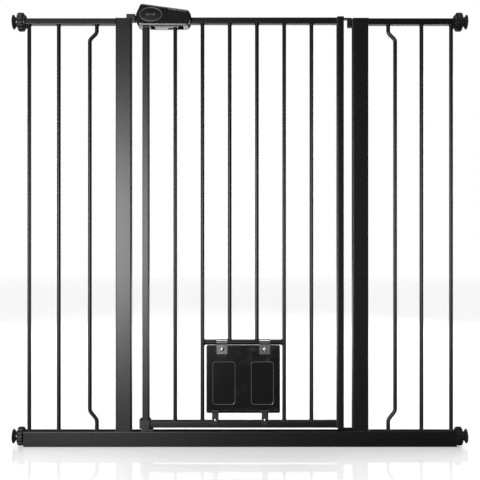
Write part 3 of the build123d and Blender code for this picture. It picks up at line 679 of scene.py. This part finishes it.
def hand_wheel(corner):
    """Profile: hub and rim proud of a dished face, chamfered at both sides, with the spindle's bore."""
    node = "hand_wheel_" + corner
    low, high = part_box(node)
    side = 1 if high[0] > 0 else -1
    near, far = (low[0], high[0]) if side > 0 else (high[0], low[0])
    rim = (high[2] - low[2]) / 2
    z = (low[2] + high[2]) / 2
    bore = SPINDLE_RADIUS + 0.05 * MM
    corners = [(near, bore), (near, rim - 2.2 * MM), (near + side * 0.7 * MM, rim - 0.7 * MM),
               (near + side * 1.8 * MM, rim), (far - side * 1.2 * MM, rim), (far, rim - 1.2 * MM),
               (far, rim - 5 * MM), (far - side * DISH_DEEP, rim - 7.5 * MM), (far - side * DISH_DEEP, 10.5 * MM),
               (far, 9 * MM), (far, bore)]
    profile = evenly(rounded(corners, [0.3 * MM] * 2 + [0.5 * MM] * 8 + [0.3 * MM], 4), 84)
    shell = ring_shell(turned(profile, z, fluted(rim), FLUTES * 14))
    make_piece("wheel_" + corner, [shell], wheel_plastic, "wheel_" + corner, (node,))


CORNERS = ("top_left", "top_right", "bottom_left", "bottom_right")
for corner in CORNERS:
    hand_wheel(corner)

# %% [markdown]
# ## Threaded spindles
# The spindle is an M10 screw with a coarse 1.5 mm pitch, zinc plated. It shows between wheel and pad, and all the
# more when the pad is screwed out. A thread is a radius that rises and falls along the length, and the wave is
# shifted by one pitch for each turn round; so one formula gives the whole helix.

# %% Threads
PITCH = 1.5 * MM
THREAD_DEPTH = 0.8 * MM
ROWS_PER_TURN = 8
SCREW_COLUMNS = 24
HEAD_LONG = 6 * MM


def spindle(corner):
    """Radius = R - depth * trapezoid(x / pitch - t / 2 pi) on the shank; then a plain collar and head."""
    node = "spindle_" + corner
    low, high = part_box(node)
    side = 1 if high[0] > 0 else -1
    inner, outer = (low[0], high[0]) if side > 0 else (high[0], low[0])
    z = (low[2] + high[2]) / 2
    length = abs(outer - inner) - HEAD_LONG
    along = np.linspace(0, length, int(length / PITCH * ROWS_PER_TURN))
    turn = TAU * np.arange(SCREW_COLUMNS) / SCREW_COLUMNS
    wave = np.abs(2 * ((along[:, None] / PITCH - side * turn[None, :] / TAU) % 1) - 1)
    cut = THREAD_DEPTH * np.clip(1.25 * wave - 0.1, 0, 1)
    run_out = smooth_step(length - along, 0, 2 * MM)[:, None]
    start = 1.2 * MM * (1 - np.clip(along / (1.5 * MM), 0, 1))[:, None]
    radius = SPINDLE_RADIUS - np.maximum(cut * run_out, start)
    head = np.array([(0.0, 8.0), (1.2, 8.0), (1.2, 4.95), (3.5, 4.95), (3.5, 9.0), (6.0, 9.0)]) * MM
    x = inner + side * np.concatenate([along, length + head[:, 0]])
    radius = np.vstack([radius, np.repeat(head[:, 1:], SCREW_COLUMNS, axis=1)])
    x = np.repeat(x[:, None], SCREW_COLUMNS, axis=1)
    grid = np.stack([x, radius * np.sin(turn), z + radius * np.cos(turn)], axis=-1)
    make_piece("screw_" + corner, [rod_shell(grid)], zinc_steel, "foot_" + corner, (node,))


for corner in CORNERS:
    spindle(corner)

# %% [markdown]
# ## Wall pads
# A rubber foot is moulded over each spindle's head. It flares from a narrow neck to a flat disc, with short
# gussets on the neck and shallow rings on the face that grip the wall. It is a profile turned about the
# spindle, with a cosine added to the radius for the gussets, which fade out before the rim.

# %% Pads
def gussets(neck, rim_at, side):
    """Adds up to 2.2 mm of radius, in twelve raised cosines round the pad, fading from neck to rim."""
    def rule(x, radius, turn):
        fade = 1 - smooth_step((x - neck) * side, 0, (rim_at - neck) * side)
        begin = smooth_step((x - neck) * side, 0.2 * MM, 1.0 * MM)
        return radius + 2.2 * MM * begin * fade * (0.5 + 0.5 * np.cos(12 * turn)) ** 3
    return rule


def wall_pad(corner):
    """Profile: neck, flare, rim, then a face with three ring grooves 0.5 mm deep."""
    node = "pad_" + corner
    low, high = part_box(node)
    side = 1 if high[0] > 0 else -1
    neck, face = (low[0], high[0]) if side > 0 else (high[0], low[0])
    rim = (high[2] - low[2]) / 2
    z = (low[2] + high[2]) / 2
    flare = np.array([(0.0, 5.2), (0.0, 8.0), (0.3, 8.5), (1.0, 9.0), (2.2, 10.2), (3.4, 11.8), (4.4, 13.4),
                      (5.4, 15.2), (6.0, 16.4), (6.4, 17.1)]) * MM
    rim_round = np.array([(6.9, 17.5), (8.2, 17.5), (8.65, 17.3), (8.8, 16.8)]) * MM
    radii = np.linspace(16.4 * MM, 0.6 * MM, 60)
    groove = sum(np.exp(-((radii - at * MM) / (0.55 * MM)) ** 4) for at in (5.5, 9.5, 13.5))
    front = np.stack([8.8 * MM - 0.5 * MM * groove, radii], axis=-1)
    profile = np.vstack([flare, rim_round, front])
    profile[:, 1] *= np.where(profile[:, 1] > 17 * MM, rim / (17.5 * MM), 1.0)
    profile[:, 0] = neck + side * profile[:, 0] * abs(face - neck) / (8.8 * MM)
    rule = gussets(neck, neck + side * 5.2 * MM, side)
    shell = rod_shell(turned(profile, z, rule, 96))
    make_piece("pad_rubber_" + corner, [shell], rubber, "foot_" + corner, (node,))


for corner in CORNERS:
    wall_pad(corner)

# %% [markdown]
# ## Screws and nuts
# Domed screws with a cross recess hold the flap's clips and are the pivots of its two catches, each with a nut
# behind. A dome is a height over radius. The recess is a smooth cross pressed into it, the nearer of the
# two distances to its arms deciding the depth. A nut is a circle whose radius swells to a hexagon.

# %% Screw and nut surfaces
def round_about_y(x, z, depth, radius, columns):
    """A stack of rings about a line along Y: (x + r cos t, depth, z + r sin t)."""
    turn = TAU * np.arange(columns) / columns
    depth, radius = np.broadcast_arrays(depth, radius + 0 * turn)
    return np.stack([x + radius * np.cos(turn), depth, z + radius * np.sin(turn)], axis=-1)


def cross_head(x, z, face, radius, height):
    """Depth = face - height * sqrt(1 - (r/R)^2) + recess, the recess being 1.1 mm * exp(-(arm / 0.42)^4)."""
    columns = 64
    turn = TAU * np.arange(columns) / columns
    share = np.concatenate([np.linspace(0.06, 0.66, 13), np.sin(np.linspace(0.75, math.pi / 2, 9))])[:, None]
    across, up = share * radius * np.cos(turn), share * radius * np.sin(turn)
    arm = np.minimum(np.abs(across), np.abs(up)) / (0.42 * MM)
    reach = np.maximum(np.abs(across), np.abs(up)) / (0.56 * radius)
    recess = 1.1 * MM * np.exp(-arm ** 4) * np.exp(-reach ** 8)
    depth = face - height * np.sqrt(1 - share ** 2) + recess
    under = np.full((1, columns), face + 0.6 * MM)
    depth = np.vstack([depth, under])
    share = np.vstack([share, share[-1:]])
    return rod_shell(round_about_y(x, z, depth, share * radius, columns))


def hex_nut(x, z, near, far, across_flats=7.0 * MM):
    """Radius = half the flats / cos(angle from the nearest flat), less a chamfer at both faces."""
    columns = 72
    turn = TAU * np.arange(columns) / columns
    hexagon = across_flats / 2 / np.cos((turn + math.pi / 6) % (math.pi / 3) - math.pi / 6)
    depth = np.array([near, near, near + 0.5 * MM, far - 0.5 * MM, far, far])[:, None]
    limit = np.array([2.0, 3.55, 4.05, 4.05, 3.55, 2.0])[:, None] * MM
    return rod_shell(round_about_y(x, z, depth, np.minimum(hexagon, limit), columns))


def shank_end(x, z, near, far, radius=2.0 * MM):
    """The screw's plain end, with a rounded tip."""
    depth = np.array([near, near + 0.1 * MM, far - 0.6 * MM, far - 0.2 * MM, far])[:, None]
    rings = np.array([0.98, 1.0, 1.0, 0.85, 0.5])[:, None] * radius
    return rod_shell(round_about_y(x, z, depth, rings, 24))


def screws(node, name, body, head_tall, nut_span):
    """All screws of a node: places from its clumps along X, depths from its box."""
    low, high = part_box(node)
    shells = []
    for x in middles_along(node):
        z = (low[2] + high[2]) / 2
        shells.append(cross_head(x, z, low[1] + head_tall, (high[2] - low[2]) / 2, head_tall))
        shells.append(hex_nut(x, z, *nut_span))
        shells.append(shank_end(x, z, low[1] + head_tall, high[1]))
    make_piece(name, shells, plated_steel, body, (node,))


screws("flap_clip_screws", "clip_screws_cross", "flap", 2.6 * MM, (5.2 * MM, 8.2 * MM))
screws("catch_screws", "catch_screws_cross", "door", 2.4 * MM, (-6.9 * MM, -3.9 * MM))

# %% [markdown]
# ## Moulded plates
# Turn buttons, lugs and the badge are flat shapes with soft edges. One surface does for all: the outline is
# carried from front to back, and close to each face it draws in along a quarter circle. The face itself is
# the same outline shrunk towards its middle, bulging a little where the mould is crowned.

# %% Plates
def plate(outline, front, back, edge, crown=0.0, arc_rows=6):
    """Closed plate in the XZ plane: quarter-round edges, and faces that bulge by crown * (1 - k^2)."""
    middle = outline.mean(axis=0)
    normal = outline_normals(outline)
    bend = np.linspace(0, math.pi / 2, arc_rows)
    shrink = np.linspace(0.08, 0.94, 7)
    drawn = outline - normal * edge
    face = middle + shrink[:, None, None] * (drawn - middle)
    inset = edge * (1 - np.sin(bend))
    side = outline[None] - normal[None] * inset[:, None, None]
    depth_in = edge * (1 - np.cos(bend))
    flat = np.concatenate([face, side, side[::-1], face[::-1]])
    bulge = crown * (1 - shrink ** 2)
    rows = np.concatenate([front - bulge, front + depth_in, back - depth_in[::-1], back + bulge[::-1]])
    depth = np.broadcast_to(rows[:, None], flat.shape[:2])
    return rod_shell(np.stack([flat[..., 0], depth, flat[..., 1]], axis=-1))


# %% [markdown]
# ## Turn buttons of the flap
# Two plastic buttons turn on screws in front of the flap's foot and keep it from swinging. Each is a rounded
# tongue with a thicker band across its top for a finger.

# %% Flap catches
BAND_TALL = 6.5 * MM


def turn_button(node, body):
    """A tongue with round ends and a thicker, wider band over its top; two plates that overlap."""
    low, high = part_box(node)
    x = (low[0] + high[0]) / 2
    back = high[1]
    tongue = rounded(rectangle(x - 8 * MM, x + 8 * MM, low[2], high[2] - 3 * MM),
                     [6 * MM, 6 * MM, 2 * MM, 2 * MM], 8)
    band = rounded(rectangle(low[0], high[0], high[2] - BAND_TALL, high[2]), 2 * MM, 8)
    shells = [plate(evenly(tongue, 96), low[1] + 1.6 * MM, back, 1.0 * MM, 0.15 * MM),
              plate(evenly(band, 96), low[1], back, 1.2 * MM, 0.1 * MM)]
    make_piece(node + "_moulded", shells, grained_plastic, body, (node,))


turn_button("left_flap_catch", "left_catch")
turn_button("right_flap_catch", "right_catch")

# %% [markdown]
# ## Window frames of the flap
# The flap's two panels are sunk, and a thin raised frame runs round each of them. The frame is coloured pale grey as
# a painted highlight, standing in for the light that its raised rim catches. It is a half-round bead carried round
# the window's rounded outline, front and back.

# %% Window frames
WINDOW_Z = (102 * MM, 206 * MM)
WINDOWS_X = ((-66 * MM, -12 * MM), (28 * MM, 82 * MM))


def bead_round(outline, level, wide, tall, count=200):
    """An ellipse, wide by tall, carried round an outline at a fixed depth."""
    path = evenly(outline, count)
    normal = outline_normals(path)
    angle = TAU * np.arange(12) / 12
    flat = path[:, None, :] + normal[:, None, :] * (wide * np.cos(angle))[None, :, None]
    depth = np.broadcast_to(level + tall * np.sin(angle), flat.shape[:2])
    return ring_shell(np.stack([flat[..., 0], depth, flat[..., 1]], axis=-1))


shells = []
for x0, x1 in WINDOWS_X:
    outline = rounded(rectangle(x0, x1, *WINDOW_Z), 7 * MM, 10)
    for face in (-4.0 * MM, 4.0 * MM):
        shells.append(bead_round(outline, face, 1.2 * MM, 1.5 * MM))
# The frames carry the pale, painted-highlight finish.
make_piece("flap_window_frames", shells, frame_plastic_painted_highlight, "flap")
nodes["flap_panel"].data.materials[0] = flap_plastic

# %% [markdown]
# ## Badge
# An oval badge sits on the handle's left end: a grey half-round rim and a domed black middle. It carries no
# name. A plain two-way arrow on it stands for the slide lock underneath: two small raised wedges and a bar.

# %% Badge
badge_low, badge_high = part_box("handle_badge")
badge_x, badge_z = (badge_low[0] + badge_high[0]) / 2, (badge_low[2] + badge_high[2]) / 2
badge_wide, badge_tall = (badge_high[0] - badge_low[0]) / 2, (badge_high[2] - badge_low[2]) / 2
RIM = 1.25 * MM
turn = TAU * np.arange(120) / 120


def oval(inset):
    """Ellipse inside the badge's edge: (x + (a - inset) cos t, z + (b - inset) sin t)."""
    return np.stack([badge_x + (badge_wide - inset) * np.cos(turn), badge_z + (badge_tall - inset) * np.sin(turn)],
                    axis=-1)


badge_face = badge_high[1] - 0.75 * MM
rim = bead_round(oval(RIM), badge_face, RIM, badge_face - badge_low[1], 160)
make_piece("badge_rim", [rim], badge_grey, "door", ("handle_badge",))
middle = plate(oval(RIM), badge_face - 0.05 * MM, badge_high[1] + 0.4 * MM, 0.3 * MM, 0.45 * MM)
make_piece("badge_middle", [middle], badge_black, "door")

shells = []
for way in (-1, 1):
    tip = badge_x + way * 13 * MM
    corners = [(tip, badge_z), (tip - way * 7 * MM, badge_z + 4.2 * MM), (tip - way * 7 * MM, badge_z - 4.2 * MM)]
    shells.append(plate(rounded(corners, 0.5 * MM, 5), badge_face - 0.62 * MM, badge_face, 0.1 * MM))
shaft = rectangle(badge_x - 6.5 * MM, badge_x + 6.5 * MM, badge_z - 1.1 * MM, badge_z + 1.1 * MM)
shells.append(plate(rounded(shaft, 0.3 * MM, 5), badge_face - 0.6 * MM, badge_face, 0.1 * MM))
make_piece("badge_arrow", shells, badge_grey, "door")

# %% [markdown]
# ## Floor
# The floor is plain and pale, with a thin gloss in which the gate's mirror image stands out faintly. Fresnel makes
# real gloss stronger at a low angle; it is capped here, so that the far floor stays as white as the rest. Only
# rays from the camera see the tone and the gloss. To the gate the floor is almost black nearby and pale further back,
# because a bright floor would wash out the black steel.

# %% Floor
FLOOR_HALF = 9.0
FLOOR_Z = -0.0006
FLOOR_IOR = 2.0
MOST_GLOSS = 0.36
FLOOR_TONE = 0.92
PALE_FROM, PALE_TO, PALE_LEAST = 0.5, 2.5, 0.06

floor_mesh = bpy.data.meshes.new("floor")
square = [(-FLOOR_HALF, -FLOOR_HALF, 0), (FLOOR_HALF, -FLOOR_HALF, 0), (FLOOR_HALF, FLOOR_HALF, 0),
          (-FLOOR_HALF, FLOOR_HALF, 0)]
floor_mesh.from_pydata(square, [], [(0, 1, 2, 3)])
floor = bpy.data.objects.new("floor", floor_mesh)
bpy.context.scene.collection.objects.link(floor)
floor.location.z = FLOOR_Z

pale_floor = bpy.data.materials.new("pale floor")
pale_floor.use_nodes = True
tree = pale_floor.node_tree
tree.nodes.remove(tree.nodes["Principled BSDF"])
matt = place(tree, "ShaderNodeBsdfDiffuse")
sheen = place(tree, "ShaderNodeBsdfGlossy")
sheen.inputs["Roughness"].default_value = 0.03
blend_two = place(tree, "ShaderNodeMixShader")
path = place(tree, "ShaderNodeLightPath")
glance = place(tree, "ShaderNodeFresnel")
glance.inputs["IOR"].default_value = FLOOR_IOR
gloss = calc(tree, "MINIMUM", glance.outputs[0], MOST_GLOSS)
tree.links.new(calc(tree, "MULTIPLY", path.outputs["Is Camera Ray"], gloss), blend_two.inputs["Fac"])
where = place(tree, "ShaderNodeSeparateXYZ")
tree.links.new(place(tree, "ShaderNodeTexCoord").outputs["Object"], where.inputs[0])
behind = spread(tree, where.outputs["Y"], PALE_FROM, PALE_TO, PALE_LEAST, FLOOR_TONE)
seen_tone = calc(tree, "MULTIPLY", path.outputs["Is Camera Ray"], FLOOR_TONE)
floor_tone = mixed(tree, calc(tree, "MAXIMUM", seen_tone, behind), (0.0, 0.0, 0.0), (1.0, 1.0, 1.0))
tree.links.new(floor_tone, matt.inputs["Color"])
tree.links.new(matt.outputs[0], blend_two.inputs[1])
tree.links.new(sheen.outputs[0], blend_two.inputs[2])
tree.links.new(blend_two.outputs[0], tree.nodes["Material Output"].inputs["Surface"])
floor_mesh.materials.append(pale_floor)
print("the floor reaches", FLOOR_HALF, "m each way")

# %% [markdown]
# ## Lamps
# Satin black shows only what it mirrors, so the lamps are placed as mirrors ask. One soft box stands in front
# and to the left: the left post turns grey from it, each round bar gets one soft line, and the right-hand side
# stays dark. Two boxes stand behind, far out to the sides, where the back mirrors them and the front does not.
# A white card under the handle gives its lower lip a bright line. The floor has a lamp and four tall white
# walls of its own, linked to it alone, so that it can be bright without lighting the gate.

# %% Lamp helpers
def hang(name, data, place_at, aim):
    """Puts a lamp at a place, turned to face a point."""
    lamp = bpy.data.objects.new(name, data)
    bpy.context.scene.collection.objects.link(lamp)
    lamp.location = place_at
    lamp.rotation_euler = Vector(np.subtract(aim, place_at)).to_track_quat("-Z", "Y").to_euler()
    return lamp


def softbox(name, place_at, aim, size, power):
    """A rectangular area light."""
    data = bpy.data.lights.new(name, "AREA")
    data.shape = "RECTANGLE"
    data.size, data.size_y = size
    data.energy = power
    return hang(name, data, place_at, aim)


def link_to(lamp, *lit):
    """The lamp lights only these objects."""
    chosen = bpy.data.collections.new("lit by " + lamp.name)
    for one in lit:
        chosen.objects.link(one)
    lamp.light_linking.receiver_collection = chosen
    lamp.visible_camera = False


# %% Lamps of the gate
softbox("left softbox", (-1.05, -3.0, 0.53), (-0.3, 0, 0.45), (0.9, 1.0), 62)
softbox("overhead softbox", (0.0, -0.6, 3.0), (0, 0, 0.5), (2.5, 2.5), 28)
for side_name, across in (("left", -2.1), ("right", 2.1)):
    softbox("rear " + side_name + " softbox", (across, 2.4, 0.8), (0, 0, 0.5), (0.9, 1.4), 30)
card = softbox("card under the handle", (-0.24, -0.42, 0.52), (-0.19, 0.0, 1.03), (0.5, 0.6), 5.0)
link_to(card, nodes["handle_upper_shell"], nodes["handle_lower_shell"], nodes["lock_slide"])

# %% Lamps of the floor
WALL_AWAY, WALL_MIDDLE = 9.2, 5.5
WALL_WIDE, WALL_TALL = 18.6, 12

sky = bpy.data.lights.new("floor lamp", "SUN")
sky.energy = 1.35
sky.angle = math.radians(60)
sky.use_shadow = False
link_to(hang("floor lamp", sky, (0, 0, 4), (0, 0, 0)), floor)
for quarter in range(4):
    way = math.pi / 2 * quarter
    spot = (WALL_AWAY * math.sin(way), WALL_AWAY * math.cos(way), WALL_MIDDLE)
    power = WALL_WIDE * WALL_TALL * math.pi
    wall = softbox("wall " + str(quarter), spot, (0, 0, WALL_MIDDLE), (WALL_WIDE, WALL_TALL), power)
    link_to(wall, floor)
print(len(bpy.data.lights), "lamps in all")

# %% [markdown]
# ## Background and camera
# The camera sees a white background, but what lights the gate from there is almost black, so that nothing greys
# the dark sides. The camera stands level, 2 m in front and at half the gate's height, as for a shop picture.

# %% Background
DIM = (0.006, 0.006, 0.006)
WHITE = (1.0, 1.0, 1.0)

world = bpy.data.worlds.new("studio")
bpy.context.scene.world = world
world.use_nodes = True
tree = world.node_tree
seen = place(tree, "ShaderNodeLightPath").outputs["Is Camera Ray"]
tree.links.new(mixed(tree, seen, DIM, WHITE), tree.nodes["Background"].inputs["Color"])

# %% Camera
camera_data = bpy.data.cameras.new("camera")
camera = bpy.data.objects.new("camera", camera_data)
bpy.context.scene.collection.objects.link(camera)
camera.location = (0.0001, -2.0, 0.504)
camera.rotation_euler = (math.radians(90), 0, 0)
camera_data.lens = 61.24
camera_data.sensor_width = 36.0
bpy.context.scene.camera = camera
bpy.context.scene.view_settings.view_transform = "Standard"
print("the camera looks from", tuple(round(v, 3) for v in camera.location))
